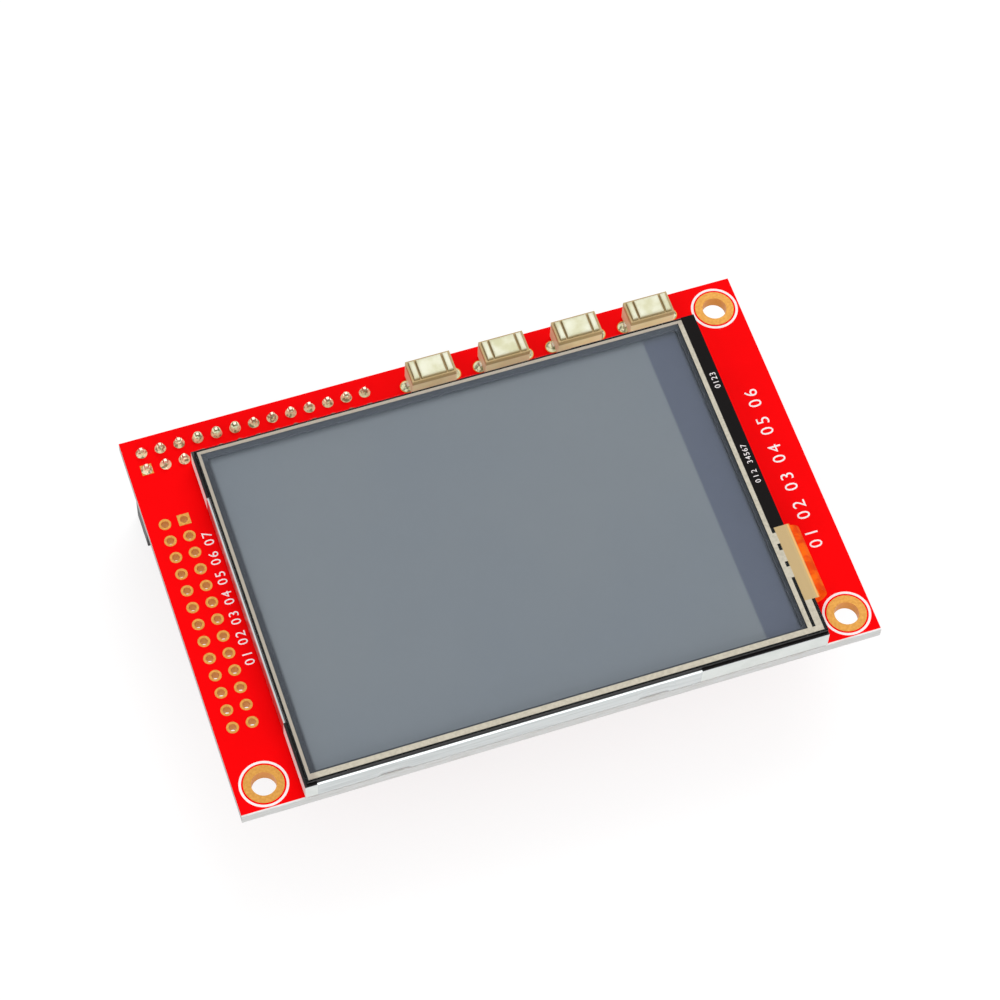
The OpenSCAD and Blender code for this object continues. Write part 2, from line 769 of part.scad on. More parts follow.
// Folded sheet: a face ring, and a skirt with a rounded bend along part of each side.
module steel_bezel()
    color("silver")
        on_display() {
            difference() {
                ring([0, 0, 0, 0], window_in, bezel_under, bezel_t);
                skirt_strips() translate([-cut, bezel_under - cut]) square([bend_r + cut, 2 * cut]);
            }
            difference() {
                union() {
                    skirt_strips() skirt_profile();
                    for (x = dimple_at, side = [0, 1])
                        translate([0, side * lcd_d, 0])
                            mirror([0, side, 0])
                                translate([x - dimple_w / 2 - dimple_in / 2, bezel_t - join, skirt_z])
                                    cube([
                                        dimple_w + dimple_in, dimple_in + join,
                                        bezel_under - skirt_z + join
                                    ]);
                }
                for (x = dimple_at, side = [0, 1])
                    translate([x, side * lcd_d, tape_t - cut])
                        mirror([0, side, 0]) linear_extrude(bezel_z) dimple_outline();
            }
        }

// Places a side profile, drawn from the outline inwards, along the four skirts.
module skirt_strips() {
    front_w = skirt_front[1] - skirt_front[0];
    side_d = skirt_side[1] - skirt_side[0];
    translate([skirt_front[0], 0, 0]) rotate([90, 0, 90]) linear_extrude(front_w) children();
    translate([skirt_front[1], lcd_d, 0]) rotate([90, 0, -90]) linear_extrude(front_w) children();
    translate([0, skirt_side[1], 0]) rotate([90, 0, 0]) linear_extrude(side_d) children();
    translate([lcd_w, skirt_side[0], 0]) rotate([90, 0, 180]) linear_extrude(side_d) children();
}

module skirt_profile() {
    bend_z = bezel_z - bend_r;
    difference() {
        union() {
            translate([0, skirt_z]) square([bezel_t, bend_z - skirt_z]);
            translate([bend_r, bend_z]) circle(r = bend_r);
            translate([bend_r, bezel_under]) square([bend_r, bezel_t]);
        }
        translate([bend_r, bend_z]) circle(r = bend_r - bezel_t);
        translate([bezel_t, bend_z - bend_r]) square([2 * bend_r, bend_r]);
        translate([bend_r, bend_z - bend_r]) square([2 * bend_r, 2 * bend_r - bezel_t]);
    }
}

// Outside of a dimple pressed into a skirt: a shallow trapezoid.
module dimple_outline()
    polygon([
        [-dimple_w / 2 - 2 * dimple_ramp, -cut], [dimple_w / 2 + 2 * dimple_ramp, -cut],
        [dimple_w / 2 + dimple_ramp, 0], [dimple_w / 2, dimple_in],
        [-dimple_w / 2, dimple_in], [-dimple_w / 2 - dimple_ramp, 0]
    ]);

// ---- touch panel ----

module touch_tape() color("#111111") on_display() ring(touch_in, window_in, touch_tape_z, touch_tape_t);

module touch_glass() color("lightcyan") on_display() layer(touch_in, touch_glass_z, touch_glass_t);

// Pale gasket between glass and film, with a second arm in the front right corner and
// short bridges to the tail.
module touch_border() {
    rear_y = lcd_d - border_in[3];
    color("#cdc6b4")
        on_display()
            translate([0, 0, gasket_z])
                linear_extrude(gasket_t)
                    difference() {
                        union() {
                            translate([border_in[0], border_in[1]])
                                square([ledge_x - border_in[0], rear_y - border_in[1]]);
                            translate([ledge_x - join, border_in[1]])
                                square([lcd_w - border_in[2] - ledge_x + join, tail_front - border_in[1]]);
                            translate([ledge_x - join, tail_front - join])
                                square([tail_x - ledge_x + join, tail_w + join]);
                        }
                        translate([border_in[0] + border_left, border_in[1] + border_front])
                            square([
                                ledge_x - border_right - border_left - border_in[0],
                                rear_y - border_rear - border_front - border_in[1]
                            ]);
                        for (slot = border_slots)
                            translate([ledge_x, slot[0]]) square([tail_x - ledge_x, slot[1] - slot[0]]);
                    }
}

module touch_edge_tape() {
    front_y = tail_front + tail_w + slide_gap;
    color("#111111")
        on_display()
            translate([ledge_x + slide_gap, front_y, gasket_z])
                cube([
                    lcd_w - touch_in[2] - ledge_x - slide_gap, lcd_d - touch_in[3] - front_y,
                    gasket_t + slide_gap
                ]);
}

// Film over the border and the tail; the bare ledge behind the tail is left free.
module touch_film() {
    left_x = touch_in[0] + slide_gap;
    front_y = touch_in[1] + slide_gap;
    rear_y = lcd_d - touch_in[3] - slide_gap;
    right_x = lcd_w - touch_in[2] - slide_gap;
    color("#7d878c")
        on_display()
            translate([0, 0, touch_film_z])
                linear_extrude(touch_film_t)
                    polygon([
                        [left_x, front_y], [right_x, front_y], [right_x, tail_front + tail_w],
                        [ledge_x, tail_front + tail_w], [ledge_x, rear_y], [left_x, rear_y]
                    ]);
}

// Tail in one piece with the panel's wiring: flat on the glass, round the display's right
// side in an open loop, and back under it on the board.
module touch_tail() {
    neck_x = lcd_w + tail_proud;
    color("orange")
        on_display() {
            along_y(tail_front, tail_front + tail_w)
                intersection() {
                    tail_profile();
                    translate([tail_x, gasket_z - cut]) square([neck_x - tail_x, 2 * cut]);
                }
            along_y(tail_front + tail_neck, tail_front + tail_w - tail_neck / 4)
                difference() {
                    tail_profile();
                    translate([tail_x - cut, gasket_z - cut])
                        square([neck_x - join - tail_x + cut, 2 * cut]);
                }
        }
}

module tail_profile() {
    loop_r = (gasket_z + gasket_t) / 2;
    loop_x = lcd_w + tail_reach - loop_r;
    difference() {
        union() {
            translate([loop_x, loop_r]) circle(r = loop_r);
            translate([lcd_w - tail_under, 0]) square([loop_x - lcd_w + tail_under, gasket_t]);
            translate([tail_x, gasket_z]) square([loop_x - tail_x, gasket_t]);
        }
        translate([loop_x, loop_r]) circle(r = loop_r - gasket_t);
        translate([loop_x - 2 * loop_r, gasket_t]) square([2 * loop_r, gasket_z - gasket_t]);
    }
}

// ---- underside ----

// Places a part that hangs under the board: its local z runs away from the board.
module under_board(at)
    on_board() translate([at[0], at[1], -board_t]) mirror([0, 0, 1]) children();

module chip_body(at, size)
    under_board(at)
        translate([-size[0] / 2, -size[1] / 2, chip_standoff]) cube(size);

// Gull-wing leads along the two long sides of a chip body.
module chip_lead_rows(at, size, counts, spacing)
    for (side = [0, 1], i = [0 : counts[side] - 1])
        under_board(at)
            translate([(i - (counts[side] - 1) / 2) * spacing, 0, 0])
                mirror([0, side, 0])
                    rotate([90, 0, 90])
                        translate([size[1] / 2, 0, -gull_w / 2])
                            linear_extrude(gull_w)
                                polygon([
                                    [0, size[2] / 2], [0, size[2] / 2 + gull_t],
                                    [gull_x[0] + gull_t, size[2] / 2 + gull_t],
                                    [gull_x[1] + gull_t, gull_t], [gull_x[2], gull_t],
                                    [gull_x[2], 0], [gull_x[1], 0], [gull_x[0], size[2] / 2]
                                ]);

module touch_controller() color("#202020") chip_body(controller_at, controller_size);

module voltage_regulator() color("#202020") chip_body(regulator_at, small_chip_size);

module backlight_transistor() color("#202020") chip_body(transistor_at, small_chip_size);

module chip_leads() {
    rows = controller_pin_count;
    color("silver") {
        chip_lead_rows(controller_at, controller_size, [rows, rows], controller_pin_pitch);
        for (at = [regulator_at, transistor_at])
            chip_lead_rows(at, small_chip_size, [2, 1], small_pin_pitch);
    }
}

// A small chip part with metal caps that stand a little proud at both ends.
module capped_chip(at, size)
    under_board(at) {
        cap_w = size[0] / 5;
        inner = [for (side = size) side - 2 * cap_proud];
        translate([-inner[0] / 2, -inner[1] / 2, cap_proud]) cube(inner);
        for (x = [-size[0] / 2, size[0] / 2 - cap_w])
            translate([x, -size[1] / 2, 0]) cube([cap_w, size[1], size[2]]);
    }

module chip_resistors() color("#303030") for (at = resistor_at) capped_chip(at, resistor_size);

module chip_capacitors() color("peru") for (at = capacitor_at) capped_chip(at, capacitor_size);

// ---- output ----

circuit_board();
mounting_pads();
grid_pads();
header_pads();
header_socket();
socket_contacts();
header_solder();
switch_pads();
switch_solder();
switch_base(1);  // switch_base_1
switch_base(2);  // switch_base_2
switch_base(3);  // switch_base_3
switch_base(4);  // switch_base_4
switch_shell(1);  // switch_shell_1
switch_shell(2);  // switch_shell_2
switch_shell(3);  // switch_shell_3
switch_shell(4);  // switch_shell_4
switch_plunger(1);  // switch_plunger_1
switch_plunger(2);  // switch_plunger_2
switch_plunger(3);  // switch_plunger_3
switch_plunger(4);  // switch_plunger_4
snap_dome(1);  // snap_dome_1
snap_dome(2);  // snap_dome_2
snap_dome(3);  // snap_dome_3
snap_dome(4);  // snap_dome_4
switch_leads(1);  // switch_leads_1
switch_leads(2);  // switch_leads_2
switch_leads(3);  // switch_leads_3
switch_leads(4);  // switch_leads_4
display_tape();
backlight_frame();
reflector_film();
light_guide();
diffuser_film();
lower_prism_film();
upper_prism_film();
backlight_leds();
led_strip();
rim_tape();
rear_polarizer();
tft_glass();
filter_glass();
front_polarizer();
driver_chip();
display_flex();
steel_bezel();
touch_tape();
touch_glass();
touch_border();
touch_edge_tape();
touch_film();
touch_tail();
touch_controller();
chip_leads();
voltage_regulator();
backlight_transistor();
chip_resistors();
chip_capacitors();
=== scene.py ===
import math

import bmesh
import bpy
from mathutils import Matrix, Vector


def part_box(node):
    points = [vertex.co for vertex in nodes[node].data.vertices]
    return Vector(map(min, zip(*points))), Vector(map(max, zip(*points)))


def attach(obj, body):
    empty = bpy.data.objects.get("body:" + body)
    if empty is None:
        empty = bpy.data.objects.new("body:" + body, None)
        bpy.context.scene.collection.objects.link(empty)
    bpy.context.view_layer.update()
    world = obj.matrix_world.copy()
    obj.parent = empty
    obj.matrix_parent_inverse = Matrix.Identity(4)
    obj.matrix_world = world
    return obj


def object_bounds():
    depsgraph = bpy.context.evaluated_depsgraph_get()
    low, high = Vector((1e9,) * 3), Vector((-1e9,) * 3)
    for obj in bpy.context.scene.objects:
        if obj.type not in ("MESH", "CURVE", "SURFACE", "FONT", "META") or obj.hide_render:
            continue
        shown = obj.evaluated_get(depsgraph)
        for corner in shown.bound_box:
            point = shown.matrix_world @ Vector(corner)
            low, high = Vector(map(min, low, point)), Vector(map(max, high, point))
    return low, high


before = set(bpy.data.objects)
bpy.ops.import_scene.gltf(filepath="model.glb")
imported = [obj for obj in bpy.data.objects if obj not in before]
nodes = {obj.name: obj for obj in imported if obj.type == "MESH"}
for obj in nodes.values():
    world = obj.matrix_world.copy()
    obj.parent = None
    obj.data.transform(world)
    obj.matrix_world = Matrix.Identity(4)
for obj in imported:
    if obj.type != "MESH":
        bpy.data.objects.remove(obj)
cadBounds = [list(corner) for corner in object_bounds()]
mm = 0.001
black = (0, 0, 0, 1)
mottle = (0.35, 0.7)  # where patchy tones start and end on a noise

boardLow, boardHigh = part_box("circuit_board")
boardTop = boardHigh.z
displayLow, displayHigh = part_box("backlight_frame")
print("frame loaded")


def tint(red, green, blue):
    def linear(value):
        value /= 255
        return value / 12.92 if value <= 0.04045 else ((value + 0.055) / 1.055) ** 2.4
    return (linear(red), linear(green), linear(blue), 1)


class Wire:
    # one output socket that can be used in arithmetic
    def __init__(self, graph, socket):
        self.graph = graph
        self.socket = socket

    def math(self, operation, *others):
        values = dict(enumerate([self, *others]))
        return self.graph.node("ShaderNodeMath", {"operation": operation}, values)

    def __add__(self, other):
        return self.math("ADD", other)

    def __sub__(self, other):
        return self.math("SUBTRACT", other)

    def __rsub__(self, other):
        return self.graph.node("ShaderNodeMath", {"operation": "SUBTRACT"}, {0: other, 1: self})

    def __mul__(self, other):
        return self.math("MULTIPLY", other)

    __radd__ = __add__
    __rmul__ = __mul__

    def least(self, other):
        return self.math("MINIMUM", other)

    def most(self, other):
        return self.math("MAXIMUM", other)

    def size(self):
        return self.math("ABSOLUTE")

    def fade(self, start, end):
        settings = {"interpolation_type": "SMOOTHSTEP"}
        return self.graph.node("ShaderNodeMapRange", settings, {0: self, 1: start, 2: end})

    def sibling(self, output):
        return Wire(self.graph, self.socket.node.outputs[output])


class Graph:
    # the nodes of a new material, or of a new world
    def __init__(self, name, family="materials", shader="Principled BSDF"):
        self.owner = getattr(bpy.data, family).new(name)
        self.owner.use_nodes = True
        self.tree = self.owner.node_tree
        self.shader = self.tree.nodes[shader]

    def node(self, kind, settings=None, values=None, output=0):
        made = self.tree.nodes.new(kind)
        for key, value in (settings or {}).items():
            setattr(made, key, value)
        for key, value in (values or {}).items():
            self.feed(made.inputs[key], value)
        return Wire(self, made.outputs[output])

    def feed(self, socket, value):
        if isinstance(value, Wire):
            self.tree.links.new(value.socket, socket)
        else:
            socket.default_value = value

    def paint(self, **values):
        names = {
            "color": "Base Color", "rough": "Roughness", "metal": "Metallic", "alpha": "Alpha",
            "normal": "Normal", "glow": "Emission Color", "specular": "Specular IOR Level",
        }
        for key, value in values.items():
            self.feed(self.shader.inputs[names[key]], value)
        if "glow" in values:
            self.feed(self.shader.inputs["Emission Strength"], 1.0)
        return self.owner

    def place(self):
        return self.node("ShaderNodeTexCoord", output="Object")

    def split(self, vector):
        first = self.node("ShaderNodeSeparateXYZ", None, {0: vector})
        return [first.sibling(axis) for axis in range(3)]

    def xyz(self):
        return self.split(self.place())

    def facing(self, axis=2):
        return self.split(self.node("ShaderNodeNewGeometry", output="Normal"))[axis]

    def noise(self, scale, detail=2, rough=0.5, stretch=None):
        place = self.place()
        if stretch:
            settings = {"operation": "MULTIPLY"}
            place = self.node("ShaderNodeVectorMath", settings, {0: place, 1: stretch})
        values = {"Vector": place, "Scale": scale, "Detail": detail, "Roughness": rough}
        return self.node("ShaderNodeTexNoise", None, values)

    def blend(self, factor, first, second):
        values = {0: factor, 6: first, 7: second}
        return self.node("ShaderNodeMix", {"data_type": "RGBA"}, values, 2)

    def bump(self, height, depth):
        values = {"Strength": 1.0, "Distance": depth, "Height": height}
        return self.node("ShaderNodeBump", None, values)

    def seenDirectly(self):
        # 1 for rays from the camera and for those that metal or glass sends on
        camera = self.node("ShaderNodeLightPath", output="Is Camera Ray")
        glossy = camera.sibling("Is Glossy Ray")
        return camera.most(glossy).most(camera.sibling("Is Transmission Ray"))


def dress(material, *names):
    for name in names:
        slots = nodes[name].data.materials
        slots.clear()
        slots.append(material)


def each(name):
    # the same piece of all four buttons
    return [f"{name}_{n}" for n in range(1, 5)]


def slim(name, depth):
    # keeps two faces that touch from lying in exactly the same plane
    shrink = nodes[name].modifiers.new("slim", "DISPLACE")
    shrink.strength = -depth
    shrink.mid_level = 0


def meshFrom(name, bm):
    mesh = bpy.data.meshes.new(name)
    bm.to_mesh(mesh)
    bm.free()
    return mesh


def newPiece(name, mesh, material, body="root"):
    piece = bpy.data.objects.new(name, mesh)
    bpy.context.scene.collection.objects.link(piece)
    mesh.materials.append(material)
    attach(piece, body)
    return piece


# red mask over a pale laminate, which shows on the cut edges
board = {
    "mask": tint(255, 0, 5), "maskDeep": tint(250, 0, 3),
    "laminate": tint(240, 241, 240), "core": tint(222, 220, 216),
    "gloss": 0.5, "edgeRough": 0.4, "shine": 0.025, "weave": 0.003 * mm, "bareRim": 0.24 * mm,
    "cloudScale": 180, "layerScale": 2600, "layerStretch": (0.12, 0.12, 3),
    "fibreScale": 9000, "swellScale": 1500,
}


def makeMask():
    g = Graph("solder_mask")
    y = g.xyz()[1]
    rim = 1 - (y - boardLow.y).fade(board["bareRim"] * 0.9, board["bareRim"])
    cutEdge = (1 - g.facing().size().fade(0.4, 0.6)).most(rim)
    cloud = g.noise(board["cloudScale"], 3)
    mask = g.blend(cloud.fade(0.35, 0.65) * 0.5, board["mask"], board["maskDeep"])
    layers = g.noise(board["layerScale"], 2, 0.6, board["layerStretch"])
    laminate = g.blend(layers.fade(0.4, 0.7), board["laminate"], board["core"])
    fibre = g.noise(board["fibreScale"]) * cutEdge + g.noise(board["swellScale"]) * 0.2
    return g.paint(
        color=g.blend(cutEdge, mask, laminate),
        rough=cutEdge * board["edgeRough"] + board["gloss"],
        specular=board["shine"],
        normal=g.bump(fibre, board["weave"]),
    )


plating = {
    "gold": tint(192, 140, 66), "deep": tint(166, 110, 44),
    # the wall tone and its glow are painted light inside the plated holes
    "wall": tint(200, 134, 60), "wallPaintedLight": tint(100, 62, 22),
    "metal": 0.6, "rough": 0.34, "specular": 0.2,
    "mottleScale": 3000, "grainScale": 9000, "grain": 0.004 * mm,
}


def makeGold():
    g = Graph("gold_plating")
    # painted light: the hole walls get a lighter tone and a glow that lifts their shade
    wall = 1 - g.facing().size().fade(0.3, 0.7)
    patch = g.noise(plating["mottleScale"], 3)
    flat = g.blend(patch.fade(0.3, 0.7) * 0.4, plating["gold"], plating["deep"])
    return g.paint(
        color=g.blend(wall, flat, plating["wall"]),
        glow=g.blend(wall, black, plating["wallPaintedLight"]),
        metal=plating["metal"],
        rough=patch * 0.2 + plating["rough"],
        specular=plating["specular"],
        normal=g.bump(g.noise(plating["grainScale"]), plating["grain"]),
    )


silk = {
    "paint": tint(252, 246, 246), "worn": tint(232, 214, 214), "rough": 0.6,
    "grainScale": 6000, "grain": 0.003 * mm,
    "ringWidth": 0.32 * mm, "ringRadius": 3.15 * mm, "thickness": 0.02 * mm, "segments": 96,
    "fontSteps": 3, "thinner": 0.003 * mm,
}


def makeSilkPaint():
    g = Graph("white_ink")
    grain = g.noise(silk["grainScale"])
    return g.paint(
        color=g.blend(grain.fade(0.3, 0.7) * 0.3, silk["paint"], silk["worn"]),
        rough=silk["rough"],
        normal=g.bump(grain, silk["grain"]),
    )


def padCentres(name):
    # the middle of each loose part of a node, from its vertices
    bm = bmesh.new()
    bm.from_mesh(nodes[name].data)
    bmesh.ops.remove_doubles(bm, verts=bm.verts, dist=1e-7)
    centres = []
    left = set(bm.verts)
    while left:
        stack = [left.pop()]
        group = []
        while stack:
            vert = stack.pop()
            group.append(vert.co.copy())
            for edge in vert.link_edges:
                other = edge.other_vert(vert)
                if other in left:
                    left.discard(other)
                    stack.append(other)
        lows = [min(co[i] for co in group) for i in range(3)]
        highs = [max(co[i] for co in group) for i in range(3)]
        centres.append(Vector((a + b) / 2 for a, b in zip(lows, highs)))
    bm.free()
    return sorted(centres, key=tuple)  # a set's own order changes from run to run


def flatRing(bm, centre, outer, inner, z0, z1, count):
    rings = []
    for radius, z in [(outer, z0), (outer, z1), (inner, z1), (inner, z0)]:
        ring = []
        for i in range(count):
            angle = 2 * math.pi * i / count
            x = centre.x + radius * math.cos(angle)
            y = centre.y + radius * math.sin(angle)
            ring.append(bm.verts.new((x, y, z)))
        rings.append(ring)
    for a in range(4):
        one, two = rings[a], rings[(a + 1) % 4]
        for i in range(count):
            j = (i + 1) % count
            bm.faces.new((one[i], one[j], two[j], two[i]))


def makeSilkRings(paint):
    bm = bmesh.new()
    for centre in padCentres("mounting_pads"):
        flatRing(
            bm, centre, silk["ringRadius"], silk["ringRadius"] - silk["ringWidth"],
            boardTop, boardTop + silk["thickness"], silk["segments"],
        )
    bmesh.ops.recalc_face_normals(bm, faces=bm.faces)
    newPiece("silk_rings", meshFrom("silk_rings", bm), paint)


# the words of such boards are left out: plain digits stand in their place
inkLines = {
    # digits, x and y of the line's start, height and length, all in mm
    "grid": [("01 02 03 04 05 06 07", 7.75, 19.8, 1.3, 19.7)],
    "title": [("01 02 03 04 05 06", 82.4, 13.6, 1.75, 24.4)],
    "ledge": [
        ("0123", 76.95, 37.9, 0.8, 2.5),
        ("012", 76.9, 22.9, 0.75, 2.2),
        ("34567", 76.9, 25.9, 0.75, 3.0),
    ],
}


def writeDigits(name, lines, paint, z):
    # lines of digits, read from front to rear, as one flat raised mesh
    thickness = silk["thickness"]
    bm = bmesh.new()
    for words, x, y, height, length in lines:
        curve = bpy.data.curves.new(name, "FONT")
        curve.body = words
        curve.size = 1
        curve.resolution_u = silk["fontSteps"]
        writing = bpy.data.objects.new(name, curve)
        bpy.context.scene.collection.objects.link(writing)
        bpy.context.view_layer.update()
        spread = writing.dimensions.copy()
        scale = height * mm / spread.y
        curve.size = scale
        curve.extrude = thickness / 2
        curve.offset = -silk["thinner"]
        curve.space_character = length * mm / (spread.x * scale)
        bpy.context.view_layer.update()
        mesh = bpy.data.meshes.new_from_object(writing)
        spin = Matrix.Rotation(math.pi / 2, 4, "Z")
        spot = Vector((boardLow.x + x * mm, boardLow.y + y * mm, z + thickness / 2))
        mesh.transform(Matrix.Translation(spot) @ spin)
        bm.from_mesh(mesh)
        bpy.data.objects.remove(writing)
        bpy.data.curves.remove(curve)
        bpy.data.meshes.remove(mesh)
    return newPiece(name, meshFrom(name, bm), paint)


whiteInk = makeSilkPaint()
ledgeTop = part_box("touch_edge_tape")[1].z
dress(makeMask(), "circuit_board")
dress(makeGold(), "mounting_pads", "grid_pads", "header_pads", "switch_pads")
makeSilkRings(whiteInk)
writeDigits("silk_numbers", inkLines["grid"], whiteInk, boardTop)
writeDigits("silk_title", inkLines["title"], whiteInk, boardTop)
writeDigits("ledge_digits", inkLines["ledge"], whiteInk, ledgeTop)
print("board dressed")


tips = {
    "tone": tint(150, 96, 76), "rough": 0.5, "heightFrom": 0.75 * mm, "heightTo": 0.85 * mm,
    "nearFrom": 1.8 * mm, "nearTo": 2.0 * mm, "sideSoft": 0.3 * mm,
}


def tucked(g):
    # 1 on the pin tips close behind the display, where its edge keeps the light off
    x, y, z = g.xyz()
    side = (x - displayLow.x).fade(-tips["sideSoft"], 0.0)
    near = 1 - (y - displayHigh.y).fade(tips["nearFrom"], tips["nearTo"])
    return side * near * z.fade(boardTop + tips["heightFrom"], boardTop + tips["heightTo"])


solder = {
    # the glow is painted light that brightens the solder
    "tone": tint(236, 240, 200), "glow": tint(60, 76, 54), "dross": tint(88, 78, 44),
    "metal": 0.2, "rough": 0.12, "specular": 0.9,
    "frostScale": 2000, "lumpScale": 1500, "lump": 0.06 * mm,
}


def makeSolder():
    g = Graph("solder")
    frost = g.noise(solder["frostScale"], 3)
    shaded = tucked(g)
    lit = g.blend(frost.fade(0.48, 0.62) * 0.9, solder["tone"], solder["dross"])
    return g.paint(
        color=g.blend(shaded, lit, tips["tone"]),
        # painted light: the solder away from the display glows a little
        glow=g.blend(shaded, solder["glow"], black),
        metal=(1 - shaded) * solder["metal"],
        rough=frost * 0.3 + solder["rough"] + shaded * tips["rough"],
        specular=solder["specular"],
        normal=g.bump(g.noise(solder["lumpScale"]), solder["lump"]),
    )


tin = {
    "tone": tint(206, 198, 176), "dull": tint(180, 168, 148), "rough": 0.22,
    "streakScale": 1400, "streakStretch": (1, 1, 0.2), "streak": 0.006 * mm,
}


def makeTin():
    g = Graph("tinned_metal")
    streak = g.noise(tin["streakScale"], 3, 0.6, tin["streakStretch"])
    shaded = tucked(g)
    lit = g.blend(streak, tin["tone"], tin["dull"])
    return g.paint(
        color=g.blend(shaded, lit, tips["tone"]),
        metal=1 - shaded,
        rough=streak * 0.2 + tin["rough"] + shaded * tips["rough"],
        normal=g.bump(streak, tin["streak"]),
    )


steel = {
    "tone": tint(206, 206, 204), "rough": 0.2,
    "grainScale": 8000, "grainStretch": (1, 0.1, 1), "grain": 0.002 * mm,
}


def makeSpringSteel():
    g = Graph("spring_steel")
    grain = g.noise(steel["grainScale"], 2, 0.5, steel["grainStretch"])
    return g.paint(
        color=steel["tone"],
        metal=1.0,
        rough=grain * 0.15 + steel["rough"],
        normal=g.bump(grain, steel["grain"]),
    )


dress(makeSolder(), "header_solder", "switch_solder")
dress(makeTin(), "socket_contacts", "chip_leads", *each("switch_leads"))
dress(makeSpringSteel(), *each("snap_dome"))
print("metal dressed")


moulded = {
    # two tones, roughness, grain scale, grain depth in mm, and the nodes it dresses
    "socket_plastic": (tint(24, 24, 26), tint(34, 33, 34), 0.42, 5000, 0.006, ["header_socket"]),
    "chip_plastic": (
        tint(38, 38, 40), tint(30, 30, 32), 0.5, 7000, 0.006,
        ["touch_controller", "voltage_regulator", "backlight_transistor"],
    ),
    "white_tape": (tint(236, 236, 230), tint(222, 222, 214), 0.6, 4000, 0.01, ["display_tape"]),
    "led_body": (tint(240, 232, 150), tint(236, 228, 190), 0.3, 3000, 0.004, ["backlight_leds"]),
    "silicon": (tint(50, 50, 54), tint(42, 42, 46), 0.12, 4000, 0.001, ["driver_chip"]),
    "resistor_body": (tint(34, 34, 34), tint(44, 42, 40), 0.35, 4000, 0.004, ["chip_resistors"]),
    "capacitor_body": (
        tint(176, 140, 106), tint(160, 126, 94), 0.4, 4000, 0.004, ["chip_capacitors"],
    ),
}
patchScale = 400
patchRough = 0.12  # how much duller a patch can be


def makeMoulded(name, first, second, rough, grainScale, grain):
    g = Graph(name)
    patch = g.noise(patchScale, 3)
    return g.paint(
        color=g.blend(patch.fade(*mottle), first, second),
        rough=patch * patchRough + rough,
        normal=g.bump(g.noise(grainScale), grain * mm),
    )


for name, (*look, targets) in moulded.items():
    dress(makeMoulded(name, *look), *targets)


ivory = {
    # the side tone is painted shade on faces that turn down
    "top": tint(238, 238, 214), "shade": tint(214, 212, 172), "side": tint(178, 156, 108),
    "rough": 0.34, "specular": 0.3, "grainScale": 2500, "grain": 0.003 * mm,
}


def makeIvory():
    # creamy on top, with painted shade: browner where the faces turn down
    g = Graph("ivory_plastic")
    patch = g.noise(patchScale, 3)
    paintedSideShade = 1 - g.facing().fade(0.25, 0.85)
    top = g.blend(patch.fade(*mottle), ivory["top"], ivory["shade"])
    return g.paint(
        color=g.blend(paintedSideShade * 0.85, top, ivory["side"]),
        rough=patch * patchRough + ivory["rough"],
        specular=ivory["specular"],
        normal=g.bump(g.noise(ivory["grainScale"]), ivory["grain"]),
    )


shell = {
    # the upper tone is painted shade under the plunger, the front glow painted light on the front
    # faces
    "face": tint(236, 226, 192), "faceWarm": tint(230, 214, 176), "upper": tint(188, 162, 112),
    "frontPaintedLight": tint(116, 110, 84), "bandFrom": 0.95 * mm, "bandSoft": 0.3 * mm,
    "patchScale": 500, "rough": 0.3, "specular": 0.3, "grainScale": 2500, "grain": 0.003 * mm,
}
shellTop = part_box("switch_shell_1")[1].z


def makeShell():
    # painted shade: a darker band under the plunger, lighter below; the front faces get a painted
    # glow
    g = Graph("shell_plastic")
    z = g.xyz()[2]
    patch = g.noise(shell["patchScale"], 3)
    bandZ = shellTop - shell["bandFrom"]
    plungerShade = z.fade(bandZ, bandZ + shell["bandSoft"])
    face = g.blend(patch.fade(*mottle), shell["face"], shell["faceWarm"])
    front = (1 - g.facing(1).fade(-0.9, -0.5)) * (1 - plungerShade * 0.6)
    return g.paint(
        color=g.blend(plungerShade, face, shell["upper"]),
        glow=g.blend(front, black, shell["frontPaintedLight"]),
        rough=patch * patchRough + shell["rough"],
        specular=shell["specular"],
        normal=g.bump(g.noise(shell["grainScale"]), shell["grain"]),
    )


tray = {
    # the wall glow is painted light on the upright faces
    "tone": tint(238, 241, 238), "toneDeep": tint(228, 232, 228), "wallPaintedLight": tint(76, 80, 78),
    "rough": 0.4, "grainScale": 3000, "grain": 0.004 * mm,
}


def makeTray():
    g = Graph("white_plastic")
    patch = g.noise(patchScale, 3)
    # painted light: the upright walls glow to lift their shade
    wall = 1 - g.facing().size().fade(0.3, 0.6)
    return g.paint(
        color=g.blend(patch.fade(*mottle), tray["tone"], tray["toneDeep"]),
        glow=g.blend(wall, black, tray["wallPaintedLight"]),
        rough=patch * patchRough + tray["rough"],
        normal=g.bump(g.noise(tray["grainScale"]), tray["grain"]),
    )


dress(makeIvory(), *each("switch_base"), *each("switch_plunger"))
dress(makeShell(), *each("switch_shell"))
dress(makeTray(), "backlight_frame")
print("plastics dressed")


panel = {
    "grey": tint(131, 140, 149), "greyWarm": tint(135, 143, 150), "strip": tint(101, 109, 127),
    "stripFrom": 5.0 * mm, "stripSoft": 0.25 * mm,
    "rim": tint(84, 89, 98), "rimWidth": 0.7 * mm,
    "rearRim": tint(104, 111, 120), "rearRimWidth": 1.4 * mm,
    "rough": 0.4, "specular": 0.1, "cloudScale": 30, "grainScale": 9000, "grain": 0.0005 * mm,
}
panelLow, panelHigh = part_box("front_polarizer")


